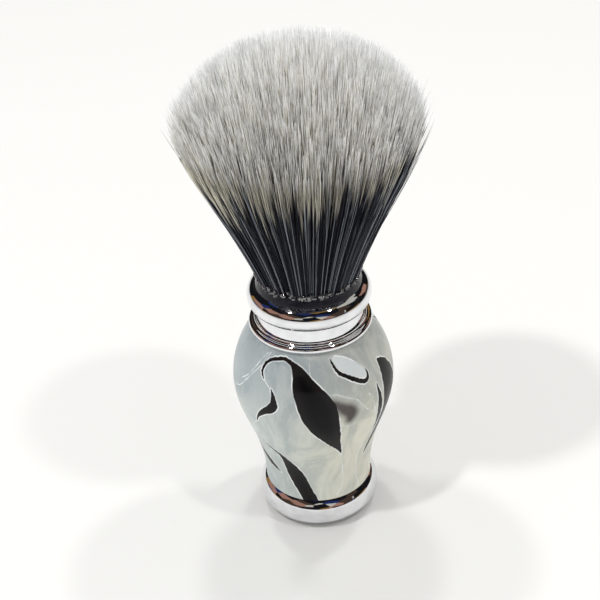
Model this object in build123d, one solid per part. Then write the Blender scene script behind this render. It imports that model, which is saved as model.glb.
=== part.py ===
from build123d import *
import math
import os

# Shaving brush, millimetres. +Z is the brush's axis, with the fibre tips up. The origin is the centre of
# the flat foot that it stands on. The head (knot, ferrule and stud) unscrews from the handle.

# ---- Driving dimensions ----

# Screw joint between head and handle, M8 x 1.25
THREAD_RADIUS = 4.0
THREAD_RUNNING_GAP = 0.05
THREAD_PITCH = 1.25
ENGAGED_TURNS = 6
HEAD_TRAVEL = THREAD_PITCH * ENGAGED_TURNS

# Chrome base cap: a half-round band, and the flat foot pad let into its underside
CAP_RADIUS = 13.9
CAP_EDGE_RADIAL = 3.5
CAP_EDGE_HALF_HEIGHT = 4.25
PAD_PROUD = 0.2
PAD_RADIUS = 9.0
PAD_THICKNESS = 1.5
SCREW_WELL_RADIUS = 5.5
SCREW_WELL_ROOF_Z = 4.9
CAP_BOSS_HEIGHT = 2.0

# Acrylic handle, turned to a waisted foot and a full belly
HANDLE_FOOT_RADIUS = 12.33
HANDLE_WAIST = (12.55, 12.7)
HANDLE_RISE = (14.58, 22.3)
HANDLE_BELLY = (18.22, 35.6)
HANDLE_SHOULDER = (15.91, 46.2)
HANDLE_TOP = (13.0, 50.75)

# Brass tube glued through the handle
TUBE_OUTER_RADIUS = 5.6
TUBE_INNER_RADIUS = 5.2

# Chrome collar on top of the handle: rounded lip, cove and threaded spigot
LIP_RADIUS = 13.78
LIP_ROUNDING = 0.8
COLLAR_TOP_RADIUS = 12.35
COLLAR_TOP_Z = 52.9
SPIGOT_LENGTH = 11.0
SEAL_WELL_RADIUS = 6.3
SEAL_WELL_DEPTH = 1.3

# Chrome ferrule: neck, rolled bead and the socket that holds the knot
JOINT_GAP = 0.05
NECK_RADIUS = 12.14
BEAD_RADIUS = 13.8
BEAD_RADIAL = 3.0
BEAD_HALF_HEIGHT = 3.04
BEAD_CENTRE_Z = 58.58
MOUTH_RADIUS = 11.82
SOCKET_RADIUS = 11.25
SOCKET_FLOOR_Z = 54.5

# Stud riveted into the ferrule's floor, and the seal ring round its root
STUD_FLANGE_RADIUS = 6.5
STUD_FLANGE_THICKNESS = 1.0
SEAL_INNER_RADIUS = 4.3
SEAL_OUTER_RADIUS = 5.9
SEAL_ROUNDING = 0.4

# Knot: plug, thread binding, bonding resin and the fibres themselves
PLUG_RADIUS = 10.95
PLUG_TOP_Z = 60.8
BINDING_DEPTH = 0.7
BINDING_LOW_Z = 57.2
BINDING_HIGH_Z = 59.6
RESIN_TOP_Z = 63.6
RESIN_CREST_RADIUS = 11.19
RESIN_LIP_INSET = 0.12
RESIN_LIP_RISE = 0.48
KNOT_ROOT_RADIUS = 10.2
KNOT_LOW_FLANK = (13.66, 70.0)
KNOT_MID_FLANK = (17.98, 80.2)
KNOT_HIGH_FLANK = (22.25, 90.0)
KNOT_BLOOM_RADIUS = 25.6
KNOT_BLOOM_Z = 100.0
KNOT_DOME_HEIGHT = 16.9

# Base fixings, M4
M4_RADIUS = 2.0
M4_CLEARANCE_RADIUS = 2.25
M4_HEAD_RADIUS = 3.8
M4_HEAD_HEIGHT = 2.2
M4_DRIVE_WIDTH = 0.9
M4_DRIVE_DEPTH = 1.2
M4_DRIVE_SPAN = 4.4
M4_SHANK_LENGTH = 14.0
M4_POINT_CHAMFER = 0.4
WASHER_OUTER_RADIUS = 3.6
WASHER_THICKNESS = 0.9
WASHER_SPLIT = 0.8
WASHER_SPLIT_AZIMUTH = 65
WASHER_SPLIT_SLANT = 25
BUSH_LENGTH = 12.0
KNURL_TEETH = 36
KNURL_DEPTH = 0.15
KNURL_WIDTH = 0.3
KNURL_PLAIN_END = 1.5

BREAK = 0.15


# ---- Helpers ----

def turned(*outline):
    """Solid of revolution from the edges of a closed outline of (radius, height) points."""
    edges = [edge for line in outline for edge in (Plane.XZ * line).edges()]
    return revolve(make_face(edges), Axis.Z)


def turned_polygon(*points):
    """Solid of revolution from straight lines through (radius, height) points."""
    return turned(Polyline(*points, close=True))


def ring(inner, outer, low, high):
    """Plain ring between two radii and two heights."""
    return turned_polygon((inner, low), (outer, low), (outer, high), (inner, high))


def oval_height(centre_z, edge_radius, radial, half_height, radius):
    """Height above centre_z at which a half-oval edge has come in to the given radius."""
    inward = (radius - (edge_radius - radial)) / radial
    return centre_z + half_height * math.sqrt(1 - inward ** 2)


def oval_angle(edge_radius, radial, radius):
    """Angle on the half-oval edge, from its widest point, at the given radius."""
    return math.degrees(math.acos((radius - (edge_radius - radial)) / radial))


CAP_CENTRE_Z = PAD_PROUD + CAP_EDGE_HALF_HEIGHT
CAP_SEAT_Z = oval_height(CAP_CENTRE_Z, CAP_RADIUS, CAP_EDGE_RADIAL, CAP_EDGE_HALF_HEIGHT, HANDLE_FOOT_RADIUS)
HANDLE_TOP_Z = HANDLE_TOP[1]
SEAL_SEAT_Z = COLLAR_TOP_Z - SEAL_WELL_DEPTH
FERRULE_FOOT_Z = COLLAR_TOP_Z + JOINT_GAP
MOUTH_Z = oval_height(BEAD_CENTRE_Z, BEAD_RADIUS, BEAD_RADIAL, BEAD_HALF_HEIGHT, MOUTH_RADIUS)
FLANGE_TOP_Z = SOCKET_FLOOR_Z + STUD_FLANGE_THICKNESS


# ---- Handle body ----

def base_cap():
    """Chrome band that the brush stands on, with a web for the screw and a boss that fits the tube."""
    foot_radius = CAP_RADIUS - CAP_EDGE_RADIAL
    boss_top = CAP_SEAT_Z + CAP_BOSS_HEIGHT
    edge = EllipticalCenterArc(
        (foot_radius, CAP_CENTRE_Z),
        CAP_EDGE_RADIAL,
        CAP_EDGE_HALF_HEIGHT,
        start_angle=-90,
        arc_size=90 + oval_angle(CAP_RADIUS, CAP_EDGE_RADIAL, HANDLE_FOOT_RADIUS),
    )
    inside = Polyline(
        (HANDLE_FOOT_RADIUS, CAP_SEAT_Z),
        (TUBE_INNER_RADIUS, CAP_SEAT_Z),
        (TUBE_INNER_RADIUS, boss_top),
        (M4_CLEARANCE_RADIUS, boss_top),
        (M4_CLEARANCE_RADIUS, SCREW_WELL_ROOF_Z),
        (SCREW_WELL_RADIUS, SCREW_WELL_ROOF_Z),
        (SCREW_WELL_RADIUS, PAD_THICKNESS),
        (PAD_RADIUS, PAD_THICKNESS),
        (PAD_RADIUS, PAD_PROUD),
        (foot_radius, PAD_PROUD),
    )
    return turned(edge, inside)


def foot_pad():
    """Flat pad let into the base cap, just proud of it."""
    pad = Pos(0, 0, PAD_THICKNESS / 2) * Cylinder(PAD_RADIUS, PAD_THICKNESS)
    return chamfer(pad.edges().group_by(Axis.Z)[0], BREAK)


def base_screw():
    """M4 pan-head screw with a cross recess, driven up through the base cap."""
    head_z = SCREW_WELL_ROOF_Z - WASHER_THICKNESS - M4_HEAD_HEIGHT
    head = Pos(0, 0, head_z + M4_HEAD_HEIGHT / 2) * Cylinder(M4_HEAD_RADIUS, M4_HEAD_HEIGHT)
    head = fillet(head.edges().group_by(Axis.Z)[0], M4_HEAD_HEIGHT / 2)
    shank_z = head_z + M4_HEAD_HEIGHT
    shank = Pos(0, 0, shank_z + M4_SHANK_LENGTH / 2) * Cylinder(M4_RADIUS, M4_SHANK_LENGTH)
    shank = chamfer(shank.edges().group_by(Axis.Z)[-1], M4_POINT_CHAMFER)
    slot = Pos(0, 0, head_z + M4_DRIVE_DEPTH / 2) * Box(M4_DRIVE_SPAN, M4_DRIVE_WIDTH, M4_DRIVE_DEPTH)
    return head + shank - slot - Rot(0, 0, 90) * slot


def lock_washer():
    """Split washer under the screw's head."""
    low = SCREW_WELL_ROOF_Z - WASHER_THICKNESS
    washer = ring(M4_CLEARANCE_RADIUS, WASHER_OUTER_RADIUS, low, SCREW_WELL_ROOF_Z)
    mid_radius = (M4_CLEARANCE_RADIUS + WASHER_OUTER_RADIUS) / 2
    blade = Box(2 * (WASHER_OUTER_RADIUS - M4_CLEARANCE_RADIUS), WASHER_SPLIT, 6 * WASHER_THICKNESS)
    turn = Rot(0, 0, WASHER_SPLIT_AZIMUTH)
    slant = Rot(WASHER_SPLIT_SLANT, 0, 0)
    return washer - turn * Pos(mid_radius, 0, SCREW_WELL_ROOF_Z) * slant * blade


def lower_bush():
    """Knurled brass bush pressed into the tube, tapped for the base screw."""
    low = CAP_SEAT_Z + CAP_BOSS_HEIGHT
    bush = ring(M4_RADIUS, TUBE_INNER_RADIUS, low, low + BUSH_LENGTH)
    groove = Box(2 * KNURL_DEPTH, KNURL_WIDTH, BUSH_LENGTH - 2 * KNURL_PLAIN_END)
    groove = Pos(TUBE_INNER_RADIUS, 0, low + BUSH_LENGTH / 2) * groove
    return bush - PolarLocations(0, KNURL_TEETH) * groove


def handle_tube():
    """Brass tube glued through the handle, holding the bush below and the collar's spigot above."""
    return ring(TUBE_INNER_RADIUS, TUBE_OUTER_RADIUS, CAP_SEAT_Z, HANDLE_TOP_Z)


def handle_body():
    """Turned acrylic handle with a through bore for the tube."""
    profile = Spline(
        (HANDLE_FOOT_RADIUS, CAP_SEAT_Z),
        HANDLE_WAIST,
        HANDLE_RISE,
        HANDLE_BELLY,
        HANDLE_SHOULDER,
        HANDLE_TOP,
    )
    inside = Polyline(
        HANDLE_TOP,
        (TUBE_OUTER_RADIUS, HANDLE_TOP_Z),
        (TUBE_OUTER_RADIUS, CAP_SEAT_Z),
        (HANDLE_FOOT_RADIUS, CAP_SEAT_Z),
    )
    return turned(profile, inside)


def handle_collar():
    """Chrome collar: rounded lip on the handle, cove up to the joint, and a threaded spigot in the tube."""
    lip_centre_radius = LIP_RADIUS - LIP_ROUNDING
    lip_low = (lip_centre_radius, HANDLE_TOP_Z)
    lip_mid = (LIP_RADIUS, HANDLE_TOP_Z + LIP_ROUNDING)
    lip_high = (lip_centre_radius, HANDLE_TOP_Z + 2 * LIP_ROUNDING)
    spigot_low = HANDLE_TOP_Z - SPIGOT_LENGTH
    return turned(
        ThreePointArc(lip_low, lip_mid, lip_high),
        TangentArc(lip_high, (COLLAR_TOP_RADIUS, COLLAR_TOP_Z), tangent=(-1, 0)),
        Polyline(
            (COLLAR_TOP_RADIUS, COLLAR_TOP_Z),
            (SEAL_WELL_RADIUS, COLLAR_TOP_Z),
            (SEAL_WELL_RADIUS, SEAL_SEAT_Z),
            (THREAD_RADIUS, SEAL_SEAT_Z),
            (THREAD_RADIUS, spigot_low),
            (TUBE_INNER_RADIUS, spigot_low),
            (TUBE_INNER_RADIUS, HANDLE_TOP_Z),
            lip_low,
        ),
    )


# ---- Seal, which rises with the head ----

def seal_ring():
    """Rubber ring round the stud's root, pressed flat between the collar and the ferrule."""
    seal = ring(SEAL_INNER_RADIUS, SEAL_OUTER_RADIUS, SEAL_SEAT_Z, FERRULE_FOOT_Z)
    return fillet(seal.edges(), SEAL_ROUNDING)


# ---- Head body ----

def ferrule():
    """Chrome cup: neck, rolled bead, and a socket with a bevelled mouth for the knot."""
    bead_core = BEAD_RADIUS - BEAD_RADIAL
    neck_top_angle = oval_angle(BEAD_RADIUS, BEAD_RADIAL, NECK_RADIUS)
    mouth_angle = oval_angle(BEAD_RADIUS, BEAD_RADIAL, MOUTH_RADIUS)
    neck_rise = oval_height(0, BEAD_RADIUS, BEAD_RADIAL, BEAD_HALF_HEIGHT, NECK_RADIUS)
    bevel = MOUTH_RADIUS - SOCKET_RADIUS
    bead = EllipticalCenterArc(
        (bead_core, BEAD_CENTRE_Z),
        BEAD_RADIAL,
        BEAD_HALF_HEIGHT,
        start_angle=-neck_top_angle,
        arc_size=neck_top_angle + mouth_angle,
    )
    rest = Polyline(
        (MOUTH_RADIUS, MOUTH_Z),
        (SOCKET_RADIUS, MOUTH_Z - bevel),
        (SOCKET_RADIUS, SOCKET_FLOOR_Z),
        (THREAD_RADIUS, SOCKET_FLOOR_Z),
        (THREAD_RADIUS, FERRULE_FOOT_Z),
        (NECK_RADIUS - BREAK, FERRULE_FOOT_Z),
        (NECK_RADIUS, FERRULE_FOOT_Z + BREAK),
        (NECK_RADIUS, BEAD_CENTRE_Z - neck_rise),
    )
    return turned(bead, rest)


def ferrule_stud():
    """Steel stud: a flange inside the socket, a shank through the ferrule's floor, and the thread below."""
    tip_z = SEAL_SEAT_Z - HEAD_TRAVEL
    thread = THREAD_RADIUS - THREAD_RUNNING_GAP
    return turned_polygon(
        (0, tip_z),
        (thread - THREAD_PITCH / 2, tip_z),
        (thread, tip_z + THREAD_PITCH / 2),
        (thread, FERRULE_FOOT_Z),
        (THREAD_RADIUS, FERRULE_FOOT_Z),
        (THREAD_RADIUS, SOCKET_FLOOR_Z),
        (STUD_FLANGE_RADIUS, SOCKET_FLOOR_Z),
        (STUD_FLANGE_RADIUS, FLANGE_TOP_Z),
        (0, FLANGE_TOP_Z),
    )


def knot_plug():
    """Moulded plug that holds the butts of the fibres, with a groove for the binding."""
    waist = PLUG_RADIUS - BINDING_DEPTH
    return turned_polygon(
        (0, FLANGE_TOP_Z),
        (PLUG_RADIUS, FLANGE_TOP_Z),
        (PLUG_RADIUS, BINDING_LOW_Z),
        (waist, BINDING_LOW_Z),
        (waist, BINDING_HIGH_Z),
        (PLUG_RADIUS, BINDING_HIGH_Z),
        (PLUG_RADIUS, PLUG_TOP_Z),
        (0, PLUG_TOP_Z),
    )


def knot_binding():
    """Thread wound round the butts, filling the plug's groove."""
    return ring(PLUG_RADIUS - BINDING_DEPTH, PLUG_RADIUS, BINDING_LOW_Z, BINDING_HIGH_Z)


def knot_flank():
    """Side of the fibre bundle, from its root to its widest point."""
    return Spline(
        (KNOT_ROOT_RADIUS, PLUG_TOP_Z),
        KNOT_LOW_FLANK,
        KNOT_MID_FLANK,
        KNOT_HIGH_FLANK,
        (KNOT_BLOOM_RADIUS, KNOT_BLOOM_Z),
    )


def fibre_knot():
    """The bundle of fibres as one soft solid: a flaring flank and a domed top."""
    dome = Spline(
        (KNOT_BLOOM_RADIUS, KNOT_BLOOM_Z),
        (KNOT_BLOOM_RADIUS * math.sqrt(0.5), KNOT_BLOOM_Z + KNOT_DOME_HEIGHT * math.sqrt(0.5)),
        (0, KNOT_BLOOM_Z + KNOT_DOME_HEIGHT),
        tangents=[(0, 1), (-1, 0)],
    )
    middle = Polyline((0, KNOT_BLOOM_Z + KNOT_DOME_HEIGHT), (0, PLUG_TOP_Z), (KNOT_ROOT_RADIUS, PLUG_TOP_Z))
    return turned(knot_flank(), dome, middle)


def bonding_resin():
    """Black resin round the plug, finished with a sloping shoulder from the ferrule's mouth up the fibres."""
    bevel = MOUTH_RADIUS - SOCKET_RADIUS
    shoulder_low = (MOUTH_RADIUS, MOUTH_Z)
    shoulder_high = (KNOT_ROOT_RADIUS, RESIN_TOP_Z)
    sleeve = turned_polygon(
        (PLUG_RADIUS, SOCKET_FLOOR_Z),
        (SOCKET_RADIUS, SOCKET_FLOOR_Z),
        (SOCKET_RADIUS, MOUTH_Z - bevel),
        shoulder_low,
        (MOUTH_RADIUS - RESIN_LIP_INSET, MOUTH_Z + RESIN_LIP_RISE),
        (RESIN_CREST_RADIUS, RESIN_TOP_Z),
        shoulder_high,
        (KNOT_ROOT_RADIUS, PLUG_TOP_Z),
        (PLUG_RADIUS, PLUG_TOP_Z),
    )
    return sleeve - fibre_knot()


# ---- Write one file for each piece ----

PIECES = [
    base_cap,
    foot_pad,
    base_screw,
    lock_washer,
    lower_bush,
    handle_tube,
    handle_body,
    handle_collar,
    seal_ring,
    ferrule,
    ferrule_stud,
    knot_plug,
    knot_binding,
    bonding_resin,
    fibre_knot,
]

os.makedirs("parts", exist_ok=True)
for piece in PIECES:
    export_step(piece(), os.path.join("parts", piece.__name__ + ".step"))
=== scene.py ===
import math

import bpy
import numpy as np
from mathutils import Matrix, Vector


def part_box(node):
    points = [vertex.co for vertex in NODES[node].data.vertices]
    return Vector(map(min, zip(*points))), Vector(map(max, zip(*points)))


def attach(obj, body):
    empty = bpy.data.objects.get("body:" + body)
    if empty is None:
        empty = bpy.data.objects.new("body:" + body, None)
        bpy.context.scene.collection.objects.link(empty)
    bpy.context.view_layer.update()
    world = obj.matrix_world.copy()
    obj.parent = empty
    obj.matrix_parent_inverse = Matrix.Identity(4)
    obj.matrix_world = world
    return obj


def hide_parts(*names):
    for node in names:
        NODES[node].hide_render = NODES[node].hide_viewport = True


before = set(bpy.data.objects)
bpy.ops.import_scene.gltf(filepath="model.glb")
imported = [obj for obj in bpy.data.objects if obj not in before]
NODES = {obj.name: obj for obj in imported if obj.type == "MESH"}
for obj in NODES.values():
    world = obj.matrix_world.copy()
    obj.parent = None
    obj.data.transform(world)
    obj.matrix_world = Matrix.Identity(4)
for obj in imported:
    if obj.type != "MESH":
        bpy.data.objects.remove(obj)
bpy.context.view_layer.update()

# A shaving brush on a pale floor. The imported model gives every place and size; this script adds the looks:
# fibres in place of the knot's plain solid, real threads, the handle's swirled acrylic, chrome and resin.

MM = 0.001

# ---- Sizes read from the frame ----

KNOT_LOW, KNOT_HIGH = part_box("fibre_knot")
STUD_LOW, STUD_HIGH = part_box("ferrule_stud")
BINDING_LOW, BINDING_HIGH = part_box("knot_binding")
RESIN_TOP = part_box("bonding_resin")[1][2]
FERRULE_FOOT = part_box("ferrule")[0][2]
PROFILE_DECIMALS = 5


def outer_profile(node):
    """Heights and outer radii of a turned CAD node, from its own vertices."""
    vertices = NODES[node].data.vertices
    points = np.empty(len(vertices) * 3)
    vertices.foreach_get("co", points)
    x, y, z = points.reshape(-1, 3).T
    radii = np.hypot(x, y)
    heights = np.round(z, PROFILE_DECIMALS)
    levels = np.unique(heights)
    return levels, np.array([radii[heights == level].max() for level in levels])


HANDLE_PROFILE = outer_profile("handle_body")
KNOT_PROFILE = outer_profile("fibre_knot")


def radius_at(profile, height):
    return np.interp(height, *profile)


# ---- Camera, in front of the brush and above it, rolled a little ----

CAMERA_ELEVATION = math.radians(34.14)
CAMERA_DISTANCE = 330.8 * MM
CAMERA_TARGET = Vector((-2.1 * MM, 0, 56.0 * MM))
CAMERA_ROLL = math.radians(-3.35)
CAMERA_LENS = 90
CAMERA_NEAR = 10 * MM


def add_camera():
    back = Vector((0, -math.cos(CAMERA_ELEVATION), math.sin(CAMERA_ELEVATION)))
    right = Vector((1, 0, 0))
    up = back.cross(right)
    tilted_right = math.cos(CAMERA_ROLL) * right + math.sin(CAMERA_ROLL) * up
    tilted_up = back.cross(tilted_right)
    camera = bpy.data.objects.new("camera", bpy.data.cameras.new("camera"))
    turn = Matrix((tilted_right, tilted_up, back)).transposed().to_4x4()
    camera.matrix_world = Matrix.Translation(CAMERA_TARGET + back * CAMERA_DISTANCE) @ turn
    camera.data.lens = CAMERA_LENS
    camera.data.clip_start = CAMERA_NEAR
    bpy.context.scene.collection.objects.link(camera)
    bpy.context.scene.camera = camera


# ---- Shader nodes ----

class Nodes:
    """A node tree and short ways to add to it. The value for a socket may be a number, a colour, a vector or
    another node's output."""

    def __init__(self, tree):
        self.tree = tree

    def set(self, node, values):
        for key, value in values.items():
            socket = node.inputs[key]
            if isinstance(value, bpy.types.NodeSocket):
                self.tree.links.new(value, socket)
            elif socket.type == "RGBA":
                socket.default_value = (*value, 1)
            else:
                socket.default_value = value

    def node(self, kind, values=None, **properties):
        made = self.tree.nodes.new("ShaderNode" + kind)
        for key, value in properties.items():
            setattr(made, key, value)
        self.set(made, values or {})
        return made

    def math(self, operation, *values, clamp=False):
        made = self.node("Math", dict(enumerate(values)), operation=operation, use_clamp=clamp)
        return made.outputs[0]

    def vector(self, operation, *vectors, **scale):
        """A vector, or for a dot product or a length, a number. The factor of SCALE is given as Scale."""
        made = self.node("VectorMath", {**dict(enumerate(vectors)), **scale}, operation=operation)
        return made.outputs["Value" if operation in ("DOT_PRODUCT", "LENGTH") else "Vector"]

    def mix(self, factor, first, second, blend="MIX"):
        """A colour from first, where the factor is 0, to second, where it is 1."""
        made = self.node("Mix", data_type="RGBA", blend_type=blend)
        self.set(made, {0: factor, 6: first, 7: second})
        return made.outputs[2]

    def tint(self, colour, factor):
        """A colour multiplied by another."""
        return self.mix(1.0, colour, factor, blend="MULTIPLY")

    def fade(self, value, start, end):
        """0 at start to 1 at end, smoothly."""
        values = {"Value": value, "From Min": start, "From Max": end}
        return self.node("MapRange", values, interpolation_type="SMOOTHSTEP").outputs[0]

    def spread(self, value, low, high):
        """A 0 to 1 value brought to low to high."""
        return self.node("MapRange", {"Value": value, "To Min": low, "To Max": high}).outputs[0]

    def place(self, scale=1 / MM, stretch=(1, 1, 1)):
        """The point on the object, in millimetres by default."""
        position = self.node("TexCoord").outputs["Object"]
        return self.vector("MULTIPLY", position, tuple(scale * part for part in stretch))

    def noise(self, vector, scale, detail=3.0, roughness=0.5, distortion=0.0, output="Fac"):
        values = {
            "Vector": vector,
            "Scale": scale,
            "Detail": detail,
            "Roughness": roughness,
            "Distortion": distortion,
        }
        return self.node("TexNoise", values).outputs[output]

    def attribute(self, name):
        return self.node("Attribute", attribute_name=name).outputs["Fac"]


class Shader(Nodes):
    """A material with a Principled surface."""

    def __init__(self, name, values):
        self.material = bpy.data.materials.new(name)
        self.material.use_nodes = True
        super().__init__(self.material.node_tree)
        self.surface = self.tree.nodes["Principled BSDF"]
        self.look(values)

    def look(self, values):
        self.set(self.surface, values)

    def bump(self, height, strength, distance):
        values = {"Height": height, "Strength": strength, "Distance": distance}
        self.look({"Normal": self.node("Bump", values).outputs[0]})


# ---- Materials. Noise scales are per millimetre ----

def chrome():
    """Bright plate with faint smears and hairline polishing marks round the axis."""
    clean, smeared = (0.84, 0.85, 0.87), (0.75, 0.76, 0.78)
    s = Shader("chrome", {"Metallic": 1.0})
    smears = s.noise(s.place(), scale=0.35, detail=4)
    s.look({
        "Base Color": s.mix(s.fade(smears, 0.35, 0.7), clean, smeared),
        "Roughness": s.spread(smears, 0.02, 0.075),
    })
    lines = s.noise(s.place(stretch=(0.2, 0.2, 14)), scale=1.2, detail=2)
    s.bump(lines, strength=0.02, distance=0.05 * MM)
    return s.material


def turned_metal(name, colour, rough):
    """Unplated turned metal: tool marks round the axis and a little tarnish."""
    tarnished = tuple(0.62 * part for part in colour)
    s = Shader(name, {"Metallic": 1.0})
    tarnish = s.noise(s.place(), scale=0.8, detail=5)
    marks = s.noise(s.place(stretch=(0.3, 0.3, 8)), scale=2.5, detail=2)
    s.look({
        "Base Color": s.mix(s.fade(tarnish, 0.45, 0.75), colour, tarnished),
        "Roughness": s.spread(marks, rough, rough + 0.18),
    })
    s.bump(marks, strength=0.25, distance=0.05 * MM)
    return s.material


def rubber(name, colour, grain):
    """Matte rubber with a fine grain."""
    dusty = tuple(2.2 * part + 0.01 for part in colour)
    s = Shader(name, {"Specular IOR Level": 0.35})
    dust = s.noise(s.place(), scale=0.6, detail=3)
    fine = s.noise(s.place(), scale=grain, detail=2)
    s.look({
        "Base Color": s.mix(s.fade(dust, 0.3, 0.8), colour, dusty),
        "Roughness": s.spread(fine, 0.55, 0.8),
    })
    s.bump(fine, strength=0.4, distance=0.06 * MM)
    return s.material


RESIN_BLACK = (0.002, 0.002, 0.004)
RESIN_BLUE_BLACK = (0.012, 0.012, 0.022)


def black_resin():
    """Poured black resin: glossy, with slow waves."""
    s = Shader("black_resin", {"Specular IOR Level": 0.16, "Coat Weight": 0.2, "Coat Roughness": 0.02})
    cloud = s.noise(s.place(), scale=0.5, detail=3)
    s.look({
        "Base Color": s.mix(cloud, RESIN_BLACK, RESIN_BLUE_BLACK),
        "Roughness": s.spread(cloud, 0.06, 0.16),
    })
    waves = s.noise(s.place(), scale=0.9, detail=3)
    s.bump(waves, strength=0.35, distance=0.25 * MM)
    return s.material


def resin_droplet():
    """Hardened beads of the same resin, some of them much shinier."""
    s = Shader("resin_droplet", {"Roughness": 0.05, "IOR": 2.0})
    patchy = s.noise(s.place(), scale=0.9, detail=2)
    s.look({
        "Base Color": s.mix(patchy, RESIN_BLACK, RESIN_BLUE_BLACK),
        "Specular IOR Level": s.spread(s.fade(patchy, 0.4, 0.6), 0.15, 1.0),
    })
    return s.material


def waxed_thread():
    """Twisted natural thread, darkened by resin, with painted shade in the furrows of the twist."""
    shaded_furrow, strand = (0.20, 0.17, 0.12), (0.48, 0.43, 0.34)
    s = Shader("waxed_thread", {"Roughness": 0.6})
    twist = {"Vector": s.place(), "Scale": 2.2, "Distortion": 3.0}
    strands = s.node("TexWave", twist, bands_direction="DIAGONAL").outputs[0]
    # The furrows' darker colour is painted shade, on the same bands as the bump
    s.look({"Base Color": s.mix(strands, shaded_furrow, strand)})
    s.bump(strands, strength=0.5, distance=0.08 * MM)
    return s.material


def floor_material():
    """Plain pale floor. Its noise scale is per metre."""
    shade, light = (0.80, 0.795, 0.775), (0.83, 0.825, 0.805)
    s = Shader("floor", {"Roughness": 0.6})
    cloud = s.noise(s.place(scale=1.0), scale=3.0, detail=3)
    s.look({"Base Color": s.mix(cloud, shade, light)})
    return s.material


# ---- The handle's pattern ----

# Each stroke is a chain of (azimuth in degrees, height in mm, half-width in mm) on the handle's surface,
# with azimuth 0 at the front and positive towards +X. Ink strokes are black, smoke is a soft brown stain,
# pale strokes are lighter pearl, and veins are thin white lines, which need no half-width.

FRONT_INK = [
    [(-41, 44.3, 0.12), (-44.3, 45.8, 0.28), (-42.3, 47.7, 0.32), (-35, 49.0, 0.36), (-25, 49.4, 0.4),
     (-18, 48.7, 0.45)],
    [(-18, 48.8, 0.45), (-13.2, 47.5, 1.2), (-9.4, 45.4, 2.1), (-6.8, 43.6, 2.8), (-2.4, 41.2, 3.6),
     (1.8, 38.2, 4.1), (5.0, 34.8, 3.5), (9.6, 30.9, 2.35), (13.4, 28.0, 1.25), (17.2, 25.6, 0.55),
     (19.8, 23.4, 0.12)],
    [(-33.6, 42.8, 0.1), (-31.4, 41.0, 0.5), (-30.6, 39.2, 1.0), (-33.6, 37.9, 1.0), (-37.8, 36.9, 0.75),
     (-41.8, 35.7, 0.55), (-45.2, 34.3, 0.3), (-47.8, 32.6, 0.1)],
    [(14.8, 49.4, 0.1), (16.6, 47.9, 0.25), (20.8, 46.3, 0.35), (27, 45.0, 0.45), (33.3, 43.8, 0.5),
     (39.0, 42.8, 0.5), (42.6, 43.1, 0.4), (43.6, 44.2, 0.2), (42.4, 45.2, 0.05)],
    [(59, 44.8, 0.4), (64, 42.3, 1.9), (68, 37, 3.4), (67.5, 31.5, 2.9), (62, 26.5, 1.8), (56, 22.5, 0.9),
     (49.5, 18.8, 0.12)],
    [(50, 40.6, 0.1), (51.6, 37.4, 0.55), (53, 33, 0.8), (53.6, 29.2, 0.55), (52.4, 26, 0.1)],
    [(-60, 26, 0.1), (-46, 23.3, 0.25), (-36.5, 22.0, 0.4), (-30.6, 19.6, 1.15), (-25.2, 16.4, 1.95),
     (-19.5, 12.6, 1.85), (-12.2, 9.0, 1.65), (-8, 5.5, 1.6)],
    [(-78, 22, 0.2), (-66, 18.3, 1.0), (-55, 16.6, 0.95), (-43.6, 15.0, 0.1)],
]
BACK_INK = [
    [(-106, 48.8, 0.3), (-112, 45.5, 1.2), (-118, 40.5, 2.6), (-115, 34.5, 3.0), (-107, 28.5, 1.8),
     (-101, 22.5, 0.7), (-101, 17, 0.12)],
    [(-136, 36, 0.15), (-141, 32, 0.6), (-140, 27, 1.1), (-134, 21.5, 1.5), (-129, 15, 1.1), (-131, 9, 0.4)],
    [(-150, 49.3, 0.2), (-158, 46.5, 0.5), (-160, 42.5, 0.6), (-153, 39.8, 0.45), (-146, 41.5, 0.12)],
    [(166, 49.6, 0.3), (174, 46.5, 1.4), (182, 41, 2.8), (188, 35, 3.2), (187, 28.5, 2.3), (180, 22.5, 1.1),
     (176, 16, 0.5), (180, 9, 0.9), (184, 5.5, 1.2)],
    [(134, 44.5, 0.1), (139, 40, 0.6), (144, 34, 0.9), (147, 27, 0.6), (146, 21, 0.1)],
    [(98, 49, 0.2), (105, 47.2, 0.6), (114, 46.6, 0.7), (121, 44, 0.6), (123, 40, 0.4), (118, 37, 0.12)],
    [(92, 33, 0.12), (99, 28.5, 1.0), (108, 22.5, 1.7), (117, 16, 1.5), (124, 9.5, 1.3), (128, 5.5, 1.2)],
]
SMOKE = [
    [(9, 40.6, 1.6), (15, 39.6, 1.9), (20.5, 38.0, 2.3), (24.6, 36.9, 2.5), (23.4, 34.9, 1.8)],
    [(-122, 42, 1.4), (-129, 40.5, 2.1), (-133, 38.5, 2.0)],
    [(194, 33, 1.6), (201, 30, 2.2), (204, 27, 1.8)],
]
PALE = [
    [(19.8, 48.9, 0.9), (26, 47.6, 1.5), (33, 46.1, 1.6), (39.4, 44.6, 1.0)],
    [(-152, 45.5, 0.9), (-154, 42.5, 1.0)],
    [(107, 43.5, 1.1), (115, 42.4, 1.3)],
]
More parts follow.
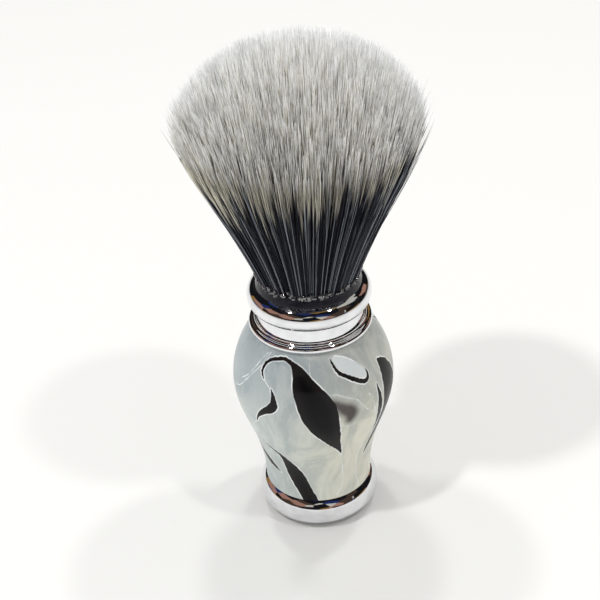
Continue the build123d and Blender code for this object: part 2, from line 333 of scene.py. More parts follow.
VEINS = [
    [(-41.2, 49.8), (-46.2, 47), (-53.5, 44), (-63, 40.2), (-70, 38.4), (-80, 38.2), (-86, 40.5)],
    [(-44, 49.6), (-51, 46.4), (-58, 43.2), (-64, 41.6)],
    [(-3.6, 48.9), (-3.2, 46.9)],
    [(30.5, 39.6), (36.5, 36.6), (41, 34.9)],
    [(19.8, 23.4), (22.6, 19), (25.1, 14.7), (24.2, 11.5), (18.2, 9.0)],
    [(-41, 44.3), (-38, 43.6), (-34.2, 42.6)],
    [(-47.8, 32.6), (-56, 29.5), (-60, 26)],
    [(-101, 17), (-108, 12.5), (-106, 8)],
    [(-146, 41.5), (-141, 39.5), (-136, 36)],
    [(146, 21), (152, 14.5), (150, 8.5)],
    [(118, 37), (108, 36.4), (92, 33)],
    [(41, 39.5), (47, 34), (46, 27), (40, 20.5), (42, 13), (48, 8)],
]
VEIN_WIDTH = 0.22

# In mm: how softly strokes of a kind run together, how far all of them wander from their chains, and where
# the ground's painted light begins and ends: a cool to warm tint from side to side, and painted shade at the
# top to a painted reflection of the floor at the foot
INK_BLEND = 0.35
SMOKE_BLEND = 1.0
VEIN_BLEND = 0.1
WANDER = 0.5
PAINTED_COOL_TO_WARM_LIGHT = (-16.0, 12.0)
PAINTED_TOP_SHADE_TO_FOOT_REFLECTION = (49.0, 26.0)

SILK_STRENGTH = 0.35
STAIN_STRENGTH = 0.93
STAIN_EDGE_STRENGTH = 0.4


def on_handle(azimuth, height):
    """The point on the handle's surface at an azimuth in degrees and a height in mm, in mm."""
    angle = math.radians(azimuth)
    radius = radius_at(HANDLE_PROFILE, height * MM) / MM
    return Vector((radius * math.sin(angle), -radius * math.cos(angle), height))


def smoothed(stroke):
    """A stroke as rows of x, y, z and half-width in mm, with a point added on a smooth curve midway between
    each two of its own."""
    rows = [np.array([*on_handle(*point[:2]), *(point[2:] or [0.0])]) for point in stroke]
    ends = [2 * rows[0] - rows[1], *rows, 2 * rows[-1] - rows[-2]]
    curve = [rows[0]]
    for before, start, end, after in zip(ends, ends[1:], ends[2:], ends[3:]):
        middle = (9 * (start + end) - before - after) / 16
        middle[3] = max(middle[3], 0.0)
        curve += [middle, end]
    return curve


def stroke_group():
    """Node group: distance from a point to a tapered stroke. Two nodes keep the share between 0 and 1, and
    not a clamp: with a clamp in each of so many copies, the shader would be too big for Cycles."""
    group = bpy.data.node_groups.new("stroke_distance", "ShaderNodeTree")
    for name, kind in (
        ("Point", "NodeSocketVector"),
        ("Start", "NodeSocketVector"),
        ("Along", "NodeSocketVector"),
        ("Inverse Length Squared", "NodeSocketFloat"),
        ("Start Width", "NodeSocketFloat"),
        ("Widening", "NodeSocketFloat"),
    ):
        group.interface.new_socket(name, in_out="INPUT", socket_type=kind)
    group.interface.new_socket("Distance", in_out="OUTPUT", socket_type="NodeSocketFloat")
    given = group.nodes.new("NodeGroupInput").outputs
    result = group.nodes.new("NodeGroupOutput")
    g = Nodes(group)
    offset = g.vector("SUBTRACT", given["Point"], given["Start"])
    reached = g.vector("DOT_PRODUCT", offset, given["Along"])
    share = g.math("MULTIPLY", reached, given["Inverse Length Squared"])
    share = g.math("MAXIMUM", share, 0.0)
    share = g.math("MINIMUM", share, 1.0)
    nearest = g.vector("SCALE", given["Along"], Scale=share)
    away = g.vector("LENGTH", g.vector("SUBTRACT", offset, nearest))
    widening = g.math("MULTIPLY", share, given["Widening"])
    distance = g.math("SUBTRACT", g.math("SUBTRACT", away, widening), given["Start Width"])
    g.set(result, {"Distance": distance})
    return group


def stroke_field(s, group, point, strokes, blend):
    """Distance from a point to the nearest of some strokes, in mm, negative inside."""
    nearest = None
    for stroke in strokes:
        curve = smoothed(stroke)
        for first, second in zip(curve, curve[1:]):
            start, end = Vector(first[:3]), Vector(second[:3])
            start_width, end_width = float(first[3]), float(second[3])
            piece = s.node("Group", node_tree=group)
            s.set(piece, {
                "Point": point,
                "Start": start,
                "Along": end - start,
                "Inverse Length Squared": 1 / (end - start).length_squared,
                "Start Width": start_width,
                "Widening": end_width - start_width,
            })
            distance = piece.outputs[0]
            nearest = s.math("SMOOTH_MIN", nearest, distance, blend) if nearest else distance
    return nearest


def pearl(s, place, folds):
    """Pearl ground: slow folds with silky wisps, and painted light: a cooler tint on -X and a warmer one on
    +X, painted shade darkening the top and a painted reflection of the floor brightening the foot."""
    grey, cream, wisp = (0.44, 0.465, 0.455), (0.60, 0.605, 0.565), (0.68, 0.69, 0.66)
    # Painted light: a cooler tint on the -X side and a warmer one on +X
    cool_light_tint, warm_light_tint = (0.88, 0.95, 1.02), (1.04, 1.02, 0.96)
    # Painted shade darkens the top, and a painted reflection of the floor brightens the foot
    top, foot = (0.82, 0.84, 0.87), (1.27, 1.26, 1.21)
    across, _, height = s.node("SeparateXYZ", {0: place}).outputs
    ground = s.mix(s.fade(folds, 0.35, 0.65), grey, cream)
    ground = s.mix(s.fade(across, *PAINTED_COOL_TO_WARM_LIGHT), s.tint(ground, cool_light_tint), s.tint(ground, warm_light_tint))
    silk = s.noise(s.place(stretch=(1.0, 1.0, 0.3)), scale=0.5, detail=4, roughness=0.7, distortion=2.5)
    ground = s.mix(s.math("MULTIPLY", s.fade(silk, 0.5, 0.75), SILK_STRENGTH), ground, wisp)
    return s.tint(ground, s.mix(s.fade(height, *PAINTED_TOP_SHADE_TO_FOOT_REFLECTION), top, foot))


def white_lines(s, place, ink, smoke, pale, veins):
    """Where the acrylic is white: round the ink, the pale strokes and the stain, and along the veins."""
    shape = s.math("MINIMUM", ink, s.math("ADD", pale, 0.05))
    edge = s.math("ABSOLUTE", s.math("SUBTRACT", shape, 0.6 * VEIN_WIDTH))
    edge_line = s.fade(edge, VEIN_WIDTH, 0.35 * VEIN_WIDTH)
    stain_edge = s.math("ABSOLUTE", s.math("SUBTRACT", smoke, VEIN_WIDTH))
    stain_line = s.math("MULTIPLY", s.fade(stain_edge, 1.5 * VEIN_WIDTH, 0.0), STAIN_EDGE_STRENGTH)
    outside_stain = s.fade(smoke, -0.6, 0.1)
    edge_line = s.math("MULTIPLY", s.math("MAXIMUM", edge_line, stain_line), outside_stain)
    free_line = s.fade(veins, 0.9 * VEIN_WIDTH, 0.25 * VEIN_WIDTH)
    patchy = s.spread(s.fade(s.noise(place, scale=0.22, detail=2), 0.35, 0.6), 0.25, 1.0)
    return s.math("MULTIPLY", s.math("MAXIMUM", edge_line, free_line), patchy, clamp=True)


def acrylic():
    """Polished acrylic: pearl grey ground with black swirls edged in white, and a hard gloss."""
    pale_pearl, stain_brown, vein_white = (0.66, 0.70, 0.70), (0.07, 0.055, 0.055), (0.88, 0.90, 0.90)
    thin_ink, deep_ink = (0.012, 0.010, 0.010), (0.002, 0.002, 0.003)
    s = Shader("acrylic", {
        "Specular IOR Level": 0.05,
        "Coat Weight": 0.22,
        "Coat Roughness": 0.015,
        "Coat IOR": 1.5,
    })
    place = s.place()
    wander = s.vector("SUBTRACT", s.noise(place, scale=0.35, detail=2, output="Color"), (0.5, 0.5, 0.5))
    point = s.vector("ADD", place, s.vector("SCALE", wander, Scale=WANDER))
    group = stroke_group()
    ink = stroke_field(s, group, point, FRONT_INK + BACK_INK, INK_BLEND)
    smoke = stroke_field(s, group, point, SMOKE, SMOKE_BLEND)
    pale = stroke_field(s, group, point, PALE, INK_BLEND)
    veins = stroke_field(s, group, point, VEINS, VEIN_BLEND)

    folds = s.noise(
        s.place(stretch=(1.0, 1.0, 0.55)), scale=0.11, detail=5, roughness=0.6, distortion=1.6
    )
    colour = s.mix(s.fade(pale, 0.1, -0.2), pearl(s, place, folds), pale_pearl)
    stain = s.math("MULTIPLY", s.fade(smoke, 0.1, -1.9), STAIN_STRENGTH)
    colour = s.mix(stain, colour, stain_brown)
    colour = s.mix(white_lines(s, place, ink, smoke, pale, veins), colour, vein_white)
    colour = s.mix(s.fade(ink, 0.07, -0.07), colour, s.mix(s.fade(ink, 0.0, -3.0), thin_ink, deep_ink))
    s.look({"Base Color": colour, "Roughness": s.spread(folds, 0.28, 0.42)})
    return s.material


# ---- Meshes ----

def full_turn(sides):
    return np.linspace(0, 2 * math.pi, sides, endpoint=False)


def ring_points(radii, heights):
    """Points of rings round the axis. radii is (levels, points round), and each level has one height."""
    turn = full_turn(radii.shape[1])
    level = np.broadcast_to(np.asarray(heights)[:, None], radii.shape)
    return np.stack([radii * np.cos(turn), radii * np.sin(turn), level], axis=2)


def ring_quads(index):
    """Quads between neighbouring rings. index holds the points' numbers, (..., rings, points round)."""
    low, high = index[..., :-1, :], index[..., 1:, :]
    corners = [low, np.roll(low, -1, axis=-1), np.roll(high, -1, axis=-1), high]
    return np.stack(corners, axis=-1).reshape(-1, 4)


NO_CAPS = np.empty((0, 3), int)


def add_mesh(name, points, quads, caps, material):
    """A mesh object in metres that rides on the head. caps are faces with any one number of corners."""
    mesh = bpy.data.meshes.new(name)
    points = points.reshape(-1, 3)
    loops = np.concatenate([quads.ravel(), caps.ravel()])
    sizes = np.concatenate([np.full(len(quads), 4), np.full(len(caps), caps.shape[1])])
    mesh.vertices.add(len(points))
    mesh.vertices.foreach_set("co", points.ravel())
    mesh.loops.add(len(loops))
    mesh.loops.foreach_set("vertex_index", loops)
    mesh.polygons.add(len(sizes))
    mesh.polygons.foreach_set("loop_start", np.cumsum(sizes) - sizes)
    mesh.update(calc_edges=True)
    mesh.shade_smooth()
    mesh.materials.append(material)
    made = bpy.data.objects.new(name, mesh)
    bpy.context.scene.collection.objects.link(made)
    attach(made, "head")
    return made


def add_turned(name, radii, heights, material):
    """A closed mesh of rings round the axis. radii is (levels, points round)."""
    index = np.arange(radii.size).reshape(radii.shape)
    caps = np.stack([index[0][::-1], index[-1]])
    return add_mesh(name, ring_points(radii, heights), ring_quads(index), caps, material)


def give_attributes(made, values):
    """Stores named numbers, one per vertex, for the material to read."""
    for key, value in values.items():
        layer = made.data.attributes.new(key, "FLOAT", "POINT")
        layer.data.foreach_set("value", value.astype(np.float32))


def dress(node, material):
    """Gives a CAD node a better material."""
    for material_slot in NODES[node].material_slots:
        material_slot.material = material


# ---- Knot of fibres ----

# A fibre starts at a share of the root's radius and keeps the same share of the flank's radius all the way
# up, so the outer ones lie on the flank and the inner ones end in the dome. The clumps' spread and jitter,
# the lean and the wave are such shares too.

FIBRE_SEED = 4
CLUMPS = 3000
FIBRES_PER_CLUMP = 7
ROOT_RADIUS_SHARE = 0.998
CLUMP_SPREAD = 0.020
CLUMP_PINCH = 0.45
CLUMP_JITTER = 0.008
LEAN = 0.010
WAVE = 0.0035
WAVE_RADIANS = 9
OWN_TONE_SHARE = 0.5
LOCKS = 300
LOCKS_BEGIN = 0.74
LOCKS_BLEND = 0.16
OUTER_SHARE = 0.88
OUTER_PIECES, OUTER_RINGS = 2, 11
INNER_PIECES, INNER_RINGS, INNER_START = 3, 6, 0.58
STRAY_SHARE = 0.035
STRAY_REACH = 2.6 * MM
STRAY_RANGE = (0.3, 1.0)
SPLAY_REACH = 1.6 * MM
SPLAY_RANGE = (0.2, 1.0)
BEND_POWER = 2.5
SHORTER_MEAN, SHORTER_SPREAD, SHORTER_LEAST = 0.3 * MM, 0.7 * MM, -0.8 * MM
FIBRE_ROOT_RADIUS = 0.075 * MM
FIBRE_TIP_RADIUS = 0.02 * MM
FIBRE_RADIUS_RANGE = (0.8, 1.25)
TAPER_SHARE = 0.32
TAPER_POWER = 0.75
FIBRE_SIDES = 3
ROOT_Z = RESIN_TOP - 1.2 * MM
BLOOM_Z = KNOT_PROFILE[0][np.argmax(KNOT_PROFILE[1])]
BLOOM_RADIUS = KNOT_PROFILE[1].max()
DOME_HEIGHT = KNOT_HIGH[2] - BLOOM_Z
FLANK_SLOPE_SPAN = 4 * MM
BISECTIONS = 30
TINY = 1e-9

# In mm below the tip: where fibres turn dark, what is added or taken away for the side, the lock and the
# fibre, how softly the colours change, and where the tip's own colour begins and is full
CHANGE_MEAN = 6.6
CHANGE_MORE_LEFT = 8.5
CHANGE_LESS_RIGHT = 2.5
CHANGE_BY_LOCK = 15
CHANGE_SCATTER = 1.8
CHANGE_LEAST = 2.2
CHANGE_MORE_INSIDE = 14
CHANGE_SOFTNESS = 2.5
TIP_COLOUR = (4.5, 0.5)

SIDE_POWER = 3
LEFT_POWER = 1.5
INSIDE_LIMIT = 0.3
# Tones at which dark fibres take the grey of painted highlights, and over which the pale colours run from
# dim, partly painted shade, to bright
HIGHLIGHT_STREAK_TONES = (0.56, 0.82)
CONTRAST_TONES = (0.18, 0.74)


def fibre_material():
    """Fibres: charcoal at the root with grey streaks that are painted highlights, then beige grey, then pale
    tips, with a soft gloss along each one. The dim beige and tips are partly painted shade of the gaps
    between locks.
    """
    charcoal, painted_highlight_grey = (0.003, 0.004, 0.012), (0.42, 0.45, 0.50)
    # The dim ends are partly the hair's own tone and partly painted shade of the gaps between locks and
    # clumps
    dim_and_shaded_beige, bright_beige = (0.17, 0.148, 0.12), (1.0, 0.95, 0.80)
    dim_and_shaded_tip, bright_tip = (0.52, 0.53, 0.53), (0.98, 0.98, 0.965)
    s = Shader("fibre", {"Roughness": 0.32})
    from_tip, change, tone = s.attribute("from_tip"), s.attribute("change"), s.attribute("tone")
    # Grey among the charcoal is a painted highlight on the dark fibres
    dark = s.mix(s.fade(tone, *HIGHLIGHT_STREAK_TONES), charcoal, painted_highlight_grey)
    contrast = s.fade(tone, *CONTRAST_TONES)
    beige = s.mix(contrast, dim_and_shaded_beige, bright_beige)
    tip = s.mix(contrast, dim_and_shaded_tip, bright_tip)
    pale = s.mix(s.fade(from_tip, *TIP_COLOUR), beige, tip)
    darkness = s.fade(s.math("SUBTRACT", from_tip, change), -CHANGE_SOFTNESS, CHANGE_SOFTNESS)
    s.look({
        "Base Color": s.mix(darkness, pale, dark),
        "Specular IOR Level": s.spread(darkness, 0.5, 0.12),
    })
    return s.material


def flank_radius(height):
    """The flank's radius at a height, carried on above the widest point at its last slope."""
    below = BLOOM_Z - FLANK_SLOPE_SPAN
    slope = (BLOOM_RADIUS - radius_at(KNOT_PROFILE, below)) / (BLOOM_Z - below)
    above = BLOOM_RADIUS + slope * (height - BLOOM_Z)
    return np.where(height < BLOOM_Z, radius_at(KNOT_PROFILE, height), above)


def dome_tip_height(share):
    """Height at which a fibre of a given share meets the dome, by bisection."""
    low = np.full(share.shape, BLOOM_Z)
    high = np.full(share.shape, KNOT_HIGH[2])
    for _ in range(BISECTIONS):
        middle = (low + high) / 2
        across, up = share * flank_radius(middle) / BLOOM_RADIUS, (middle - BLOOM_Z) / DOME_HEIGHT
        outside = across ** 2 + up ** 2 > 1
        high = np.where(outside, middle, high)
        low = np.where(outside, low, middle)
    return low


def in_locks(own, inner_values, generator):
    """A value for each fibre: near the flank it follows the lock of hair at that azimuth, so that locks show
    as streaks, and further in it is the fibre's own."""
    azimuth = np.arctan2(own[:, 1], own[:, 0]) / (2 * math.pi) % 1
    by_lock = generator.uniform(0, 1, LOCKS)
    lock = np.interp(azimuth * LOCKS, np.arange(LOCKS), by_lock)
    weight = np.clip((np.linalg.norm(own, axis=1) - LOCKS_BEGIN) / LOCKS_BLEND, 0, 1)
    return inner_values + (lock - inner_values) * weight


def fibre_starts(generator):
    """For each fibre, the place in the knot's section of its clump's middle and its own, and its tone."""
    order = np.arange(CLUMPS) + 0.5
    golden_turn = math.pi * (3 - math.sqrt(5))
    reach, azimuth = np.sqrt(order / CLUMPS) * ROOT_RADIUS_SHARE, order * golden_turn
    clump_tone = generator.uniform(0, 1, CLUMPS)
    centre = np.stack([reach * np.cos(azimuth), reach * np.sin(azimuth)], axis=1)
    centre += generator.normal(0, CLUMP_JITTER, centre.shape)
    centre = np.repeat(centre, FIBRES_PER_CLUMP, axis=0)
    own = centre + generator.normal(0, CLUMP_SPREAD, centre.shape)
    reach = np.linalg.norm(own, axis=1)
    own *= np.minimum(1, ROOT_RADIUS_SHARE / np.maximum(reach, TINY))[:, None]
    # Each lock's tone gives the flank streaks, partly the hair's own and partly painted shade between locks
    tone = in_locks(own, np.repeat(clump_tone, FIBRES_PER_CLUMP), generator)
    tone = (1 - OWN_TONE_SHARE) * tone + OWN_TONE_SHARE * generator.uniform(0, 1, len(own))
    return centre, own, tone


def change_depth(own, generator):
    """How far from the tip a fibre turns dark, in mm: further on -X than on +X, and inside the knot always
    some way below the dome."""
    share = np.linalg.norm(own, axis=1)
    side = own[:, 0] * share ** SIDE_POWER
    left, right = np.maximum(-side, 0) ** LEFT_POWER, np.maximum(side, 0)
    mean = CHANGE_MEAN + CHANGE_MORE_LEFT * left - CHANGE_LESS_RIGHT * right
    even = generator.uniform(0, 1, len(own))
    ragged = CHANGE_BY_LOCK * (in_locks(own, even, generator) - 0.5)
    ragged += generator.normal(0, CHANGE_SCATTER, len(own))
    least = CHANGE_LEAST + CHANGE_MORE_INSIDE * np.minimum(1 - share, INSIDE_LIMIT)
    return np.maximum(mean + ragged, least)


def knot_spines(centre, own, first, rings, generator):
    """Spines from share `first` of the length up to the tips, and each ring's distance to the tip in mm."""
    tip_z = dome_tip_height(np.linalg.norm(own, axis=1))
    shorter = generator.normal(SHORTER_MEAN, SHORTER_SPREAD, len(own))
    tip_z = tip_z - np.maximum(shorter, SHORTER_LEAST)
    along = np.linspace(first, 1, rings)[None, :]
    height = ROOT_Z + (tip_z - ROOT_Z)[:, None] * along
    pinch = CLUMP_PINCH * along[..., None] ** 2
    flat = own[:, None, :] * (1 - pinch) + centre[:, None, :] * pinch
    flat = flat + generator.normal(0, LEAN, (len(own), 1, 2)) * along[..., None] ** 2
    reach = np.linalg.norm(flat, axis=2, keepdims=True)
    flat = flat * np.minimum(1, 1 / np.maximum(reach, TINY))
    phase = generator.uniform(0, 2 * math.pi, (len(own), 1, 2))
    flat = flat + WAVE * along[..., None] * np.sin(along[..., None] * WAVE_RADIANS + phase)
    spine = np.concatenate([flat * flank_radius(height)[..., None], height[..., None]], axis=2)
    return spine, (tip_z[:, None] - height) / MM


def let_stray(spine, generator):
    """Bends a few fibres of the flank a little way out from the others, and lets all of them splay on -X."""
    count = len(spine)
    bend = np.linspace(0, 1, spine.shape[1])[None, :] ** BEND_POWER
    stray = generator.uniform(0, 1, count) < STRAY_SHARE
    strayed = np.where(stray, generator.uniform(*STRAY_RANGE, count) * STRAY_REACH, 0)[:, None]
    splayed = SPLAY_REACH * generator.uniform(*SPLAY_RANGE, (count, 1))
    reach = np.linalg.norm(spine[:, :, :2], axis=2)
    towards_left = (-spine[:, :, 0] / reach).clip(0, 1) ** 2
    out = (strayed + splayed * towards_left) * bend
    spine[:, :, :2] *= (1 + out / reach)[..., None]
    return spine


def add_fibres(name, spine, radii, values, material):
    """Three-sided tubes along many spines at once. spine is (fibres, rings, 3), and radii and each of the
    values are (fibres, rings)."""
    direction = np.gradient(spine, axis=1)
    direction /= np.linalg.norm(direction, axis=2, keepdims=True)
    side = np.cross(direction, (0.0, 0.0, 1.0))
    flat = np.linalg.norm(side, axis=2, keepdims=True)
    side = np.where(flat > TINY, side / np.maximum(flat, TINY), (1.0, 0.0, 0.0))
    other = np.cross(direction, side)
    turn = (full_turn(FIBRE_SIDES) + math.pi / 2)[:, None]
    ring = np.cos(turn) * side[:, :, None, :] + np.sin(turn) * other[:, :, None, :]
    points = spine[:, :, None, :] + ring * radii[:, :, None, None]
    index = np.arange(points[..., 0].size).reshape(points.shape[:3])
    made = add_mesh(name, points, ring_quads(index), index[:, -1], material)
    give_attributes(made, {key: np.repeat(value.ravel(), FIBRE_SIDES) for key, value in values.items()})
    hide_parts("fibre_knot")


def add_knot():
    generator = np.random.default_rng(FIBRE_SEED)
    material = fibre_material()
    centre, own, tone = fibre_starts(generator)
    change = change_depth(own, generator)
    outer = np.linalg.norm(own, axis=1) > OUTER_SHARE
    for group, members, pieces, first, rings in (
        ("fibres_outer", np.flatnonzero(outer), OUTER_PIECES, 0.0, OUTER_RINGS),
        ("fibres_inner", np.flatnonzero(~outer), INNER_PIECES, INNER_START, INNER_RINGS),
    ):
        taper = np.clip((1 - np.linspace(first, 1, rings)) / TAPER_SHARE, 0, 1) ** TAPER_POWER
        usual_radii = FIBRE_TIP_RADIUS + (FIBRE_ROOT_RADIUS - FIBRE_TIP_RADIUS) * taper
        for number, chosen in enumerate(np.array_split(members, pieces), start=1):
            spine, from_tip = knot_spines(centre[chosen], own[chosen], first, rings, generator)
            if group == "fibres_outer":
                spine = let_stray(spine, generator)
            radii = usual_radii * generator.uniform(*FIBRE_RADIUS_RANGE, (len(chosen), 1))
            values = {
                "from_tip": from_tip,
                "tone": np.repeat(tone[chosen, None], rings, axis=1),
                "change": np.repeat(change[chosen, None], rings, axis=1),
            }
            add_fibres(f"{group}_{number}", spine, radii, values, material)
    add_core(material)


CORE_SIDES, CORE_LEVELS = 96, 24
CORE_TOP_Z = KNOT_HIGH[2] - 13 * MM
CORE_DOME_DROP = 12.5 * MM
CORE_RADIUS_SHARE = 0.93
CORE_RIPPLES, CORE_RIPPLE_DEPTH = 24, 0.02
CORE_LEAST_RADIUS = 0.5 * MM
CORE_DARK_SHARE = 0.97
CORE_FROM_TIP = 20.0
CORE_TONES = (0.15, 0.35)
CORE_CHANGES = (5.0, 35.0)


def add_core(material):
    """Heart of the knot, which stands for the packed fibres that can't be seen: dark, with a pale top where
    the dome narrows it to less than CORE_DARK_SHARE of its radius."""
    heights = np.linspace(KNOT_LOW[2], CORE_TOP_Z, CORE_LEVELS)
    up = ((heights + CORE_DOME_DROP - BLOOM_Z) / DOME_HEIGHT).clip(0, 1)
    dome = np.sqrt(1 - up ** 2)
    radii = CORE_RADIUS_SHARE * np.minimum(flank_radius(heights), BLOOM_RADIUS * dome)
    radii[-1] = max(radii[-1], CORE_LEAST_RADIUS)
    ripple = 1 - CORE_RIPPLE_DEPTH * np.abs(np.sin(full_turn(CORE_SIDES) * CORE_RIPPLES))
    made = add_turned("knot_core", np.outer(radii, ripple), heights, material)
    dark = np.repeat(dome >= CORE_DARK_SHARE, CORE_SIDES)
    give_attributes(made, {
        "from_tip": np.full(len(dark), CORE_FROM_TIP),
        "tone": np.where(dark, *CORE_TONES),
        "change": np.where(dark, *CORE_CHANGES),
    })
    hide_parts("fibre_knot")


# ---- Black resin drawn up between the fibres, in a ragged row of beads along the shoulder's edge ----

RESIN_SEED = 11
RESIN_BEADS = 260
BEAD_SIDES = 8
BEAD_BANDS = 6
BEAD_RISE, BEAD_RISE_SPREAD = 0.3 * MM, 0.45 * MM
BEAD_INSET = 0.15 * MM
BEAD_RADII = (0.25 * MM, 0.62 * MM)
BEAD_TALLNESS = (0.8, 1.9)


def add_resin_beads():
    generator = np.random.default_rng(RESIN_SEED)
    azimuth = generator.uniform(0, 2 * math.pi, RESIN_BEADS)
    height = RESIN_TOP + generator.normal(BEAD_RISE, BEAD_RISE_SPREAD, RESIN_BEADS)
    out = flank_radius(height) + generator.uniform(-BEAD_INSET, BEAD_INSET, RESIN_BEADS)
    wide = generator.uniform(*BEAD_RADII, RESIN_BEADS)
    tall = wide * generator.uniform(*BEAD_TALLNESS, RESIN_BEADS)
    tilt = np.linspace(-math.pi / 2, math.pi / 2, BEAD_BANDS + 1)
    ball = ring_points(np.outer(np.cos(tilt), np.ones(BEAD_SIDES)), np.sin(tilt)).reshape(-1, 3)
    middle = np.stack([out * np.cos(azimuth), out * np.sin(azimuth), height], axis=1)
    points = middle[:, None] + ball * np.stack([wide, wide, tall], axis=1)[:, None]
    index = np.arange(points[..., 0].size).reshape(RESIN_BEADS, BEAD_BANDS + 1, BEAD_SIDES)
    add_mesh("resin_beads", points, ring_quads(index), NO_CAPS, resin_droplet())


# ---- Stud: a plain turned outline with a real helical thread on its shank ----

THREAD_PITCH = 1.25 * MM
THREAD_DEPTH = 0.65 * MM
THREAD_RADIUS = 3.95 * MM
THREAD_TURNS_END = FERRULE_FOOT - 1.0 * MM
SHANK_RADIUS = 4.0 * MM
FLANGE_RADIUS = STUD_HIGH[0]
FLANGE_LOW = STUD_HIGH[2] - 1.0 * MM
POINT_SHARE = 0.86
RIDGE_TOP, RIDGE_SLOPE = 1.25, 2.5
STUD_SIDES = 72
STUD_STEP = THREAD_PITCH / 12
STUD_SHARP_ANGLE = math.radians(35)


def add_threaded_stud():
    heights = np.arange(STUD_LOW[2], THREAD_TURNS_END, STUD_STEP)
    phase = (heights[:, None] / THREAD_PITCH - full_turn(STUD_SIDES) / (2 * math.pi)) % 1
    ridge = np.clip(RIDGE_TOP - RIDGE_SLOPE * np.abs(phase - 0.5), 0, 1)
    point_chamfer = np.clip((heights - STUD_LOW[2]) / (THREAD_PITCH / 2), 0, 1)[:, None]
    run_out = np.clip((THREAD_TURNS_END - heights) / THREAD_PITCH, 0, 1)[:, None]
    threaded = THREAD_RADIUS - THREAD_DEPTH * (1 - ridge) * run_out
    threaded = threaded * (POINT_SHARE + (1 - POINT_SHARE) * point_chamfer)
    plain = np.array([
        (THREAD_RADIUS, FERRULE_FOOT),
        (SHANK_RADIUS, FERRULE_FOOT),
        (SHANK_RADIUS, FLANGE_LOW),
        (FLANGE_RADIUS, FLANGE_LOW),
        (FLANGE_RADIUS, STUD_HIGH[2]),
    ])
    radii = np.concatenate([threaded, np.repeat(plain[:, :1], STUD_SIDES, axis=1)])
    heights = np.concatenate([heights, plain[:, 1]])
    made = add_turned("threaded_stud", radii, heights, STEEL)
    made.data.set_sharp_from_angle(angle=STUD_SHARP_ANGLE)
    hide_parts("ferrule_stud")


# ---- Binding: waxed thread wound in close turns, two layers deep ----

WINDING_TURNS = 6
WINDING_SIDES = 8
POINTS_PER_TURN = 60
STRAND_RADIUS = (BINDING_HIGH[2] - BINDING_LOW[2]) / (2 * WINDING_TURNS)
LAYER_STEP = 1.4 * STRAND_RADIUS
OUTWARD = [0, 3, 2, 1]


def add_binding():
    count = WINDING_TURNS * POINTS_PER_TURN
    turn = np.linspace(0, 2 * math.pi * (WINDING_TURNS - 1), count)
    height = np.linspace(BINDING_LOW[2] + STRAND_RADIUS, BINDING_HIGH[2] - STRAND_RADIUS, count)
    outer = BINDING_HIGH[0] - STRAND_RADIUS
    radius = np.array([outer, outer - LAYER_STEP])[:, None, None]
    around = full_turn(WINDING_SIDES)
    across = radius + STRAND_RADIUS * np.cos(around)
    points = np.stack([
        across * np.cos(turn)[:, None],
        across * np.sin(turn)[:, None],
        np.broadcast_to(height[:, None] + STRAND_RADIUS * np.sin(around), (2, count, WINDING_SIDES)),
    ], axis=3)
    index = np.arange(points[..., 0].size).reshape(points.shape[:3])
    quads = ring_quads(index)[:, OUTWARD]
    made = add_mesh("binding_winding", points, quads, NO_CAPS, WAXED_THREAD)
    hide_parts("knot_binding")


# ---- Stage ----

FLOOR_SIZE = 40
FLOOR_DROP = 0.01 * MM


def add_floor():
    bpy.ops.mesh.primitive_plane_add(size=FLOOR_SIZE, location=(0, 0, -FLOOR_DROP))
    floor = bpy.context.object
    floor.name = "floor"
    floor.data.materials.append(floor_material())


# Each lamp's direction from the brush, and its power in watts
LAMPS = {
    "lamp_right": ((0.40, -0.30, 0.87), 3.4),
    "lamp_left": ((-0.42, -0.28, 0.86), 6.6),
    "lamp_back_right": ((0.28, 0.21, 0.94), 3.4),
    "lamp_back": ((0.0, 0.25, 0.97), 3.4),
    "lamp_back_left": ((-0.20, 0.23, 0.95), 3.4),
}
LAMPS_AIM = Vector((0, 0, 90 * MM))
LAMP_DISTANCE = 1.5
LAMP_SIZE = 0.10


def add_lamps():
    for name, (direction, power) in LAMPS.items():
        light = bpy.data.lights.new(name, "AREA")
        light.shape = "DISK"
        light.size = LAMP_SIZE
        light.energy = power
        lamp = bpy.data.objects.new(name, light)
        towards = Vector(direction).normalized()
        lamp.location = LAMPS_AIM + towards * LAMP_DISTANCE
        lamp.rotation_mode = "QUATERNION"
        lamp.rotation_quaternion = towards.to_track_quat("Z", "Y")
        bpy.context.scene.collection.objects.link(lamp)


ROOM_LIGHT = 0.54
ROOM_PATCH_SCALE = 2.6

# Where each of the room's colours begins, on a scale of 0 to 1 that patches are spread over evenly
ROOM_COLOURS = [
    (0.0, (0.008, 0.008, 0.01)),
    (0.27, (0.27, 0.155, 0.045)),
    (0.43, (0.015, 0.014, 0.014)),
    (0.58, (0.36, 0.20, 0.15)),
    (0.68, (0.015, 0.03, 0.12)),
    (0.76, (0.52, 0.50, 0.45)),
    (0.86, (0.06, 0.04, 0.03)),
]


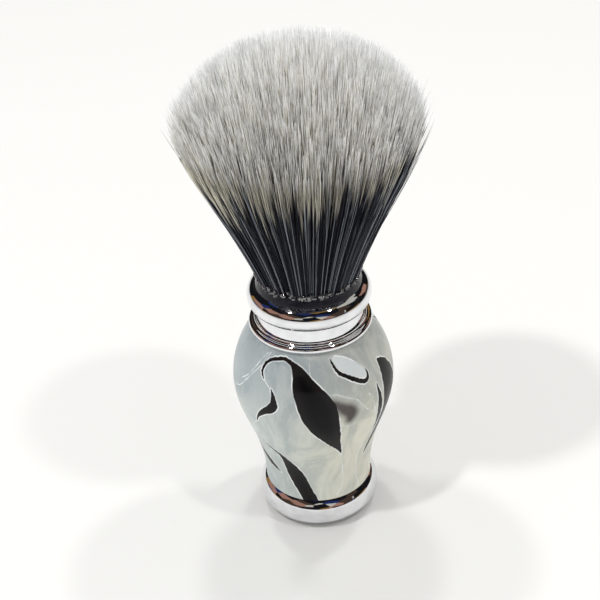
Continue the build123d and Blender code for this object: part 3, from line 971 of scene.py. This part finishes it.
def add_world():
    """Even white light, and a dim, patchy room that only glossy surfaces see."""
    world = bpy.data.worlds.new("room")
    bpy.context.scene.world = world
    world.use_nodes = True
    world.node_tree.nodes.clear()
    w = Nodes(world.node_tree)
    even = w.node("Background", {"Color": (1.0, 1.0, 1.0), "Strength": ROOM_LIGHT})
    patches = w.node("TexVoronoi", {
        "Vector": w.node("TexCoord").outputs["Generated"],
        "Scale": ROOM_PATCH_SCALE,
        "Randomness": 1.0,
    })
    pick = w.node("SeparateColor", {0: patches.outputs["Color"]}).outputs[0]
    ramp = w.node("ValToRGB", {0: pick})
    ramp.color_ramp.interpolation = "CONSTANT"
    while len(ramp.color_ramp.elements) < len(ROOM_COLOURS):
        ramp.color_ramp.elements.new(1.0)
    for element, (position, colour) in zip(ramp.color_ramp.elements, ROOM_COLOURS):
        element.position = position
        element.color = (*colour, 1)
    room = w.node("Background", {"Color": ramp.outputs[0], "Strength": 1.0})
    glossy = w.node("LightPath").outputs["Is Glossy Ray"]
    seen = w.node("MixShader", {0: glossy, 1: even.outputs[0], 2: room.outputs[0]})
    w.node("OutputWorld", {"Surface": seen.outputs[0]})


# ---- Make everything ----

add_camera()
add_floor()
add_lamps()
add_world()
bpy.context.scene.view_settings.view_transform = "Standard"

STEEL = turned_metal("zinc_steel", (0.62, 0.63, 0.65), rough=0.25)
WAXED_THREAD = waxed_thread()
FINISHES = {
    chrome(): ["base_cap", "handle_collar", "ferrule"],
    turned_metal("brass", (0.78, 0.58, 0.28), rough=0.22): ["lower_bush", "handle_tube"],
    STEEL: ["base_screw", "lock_washer"],
    black_resin(): ["knot_plug", "bonding_resin"],
    acrylic(): ["handle_body"],
    rubber("seal_rubber", (0.012, 0.012, 0.012), grain=9.0): ["seal_ring"],
    rubber("pad_rubber", (0.03, 0.03, 0.032), grain=5.0): ["foot_pad"],
}
for finish, dressed in FINISHES.items():
    for node in dressed:
        dress(node, finish)

add_knot()
add_resin_beads()
add_threaded_stud()
add_binding()
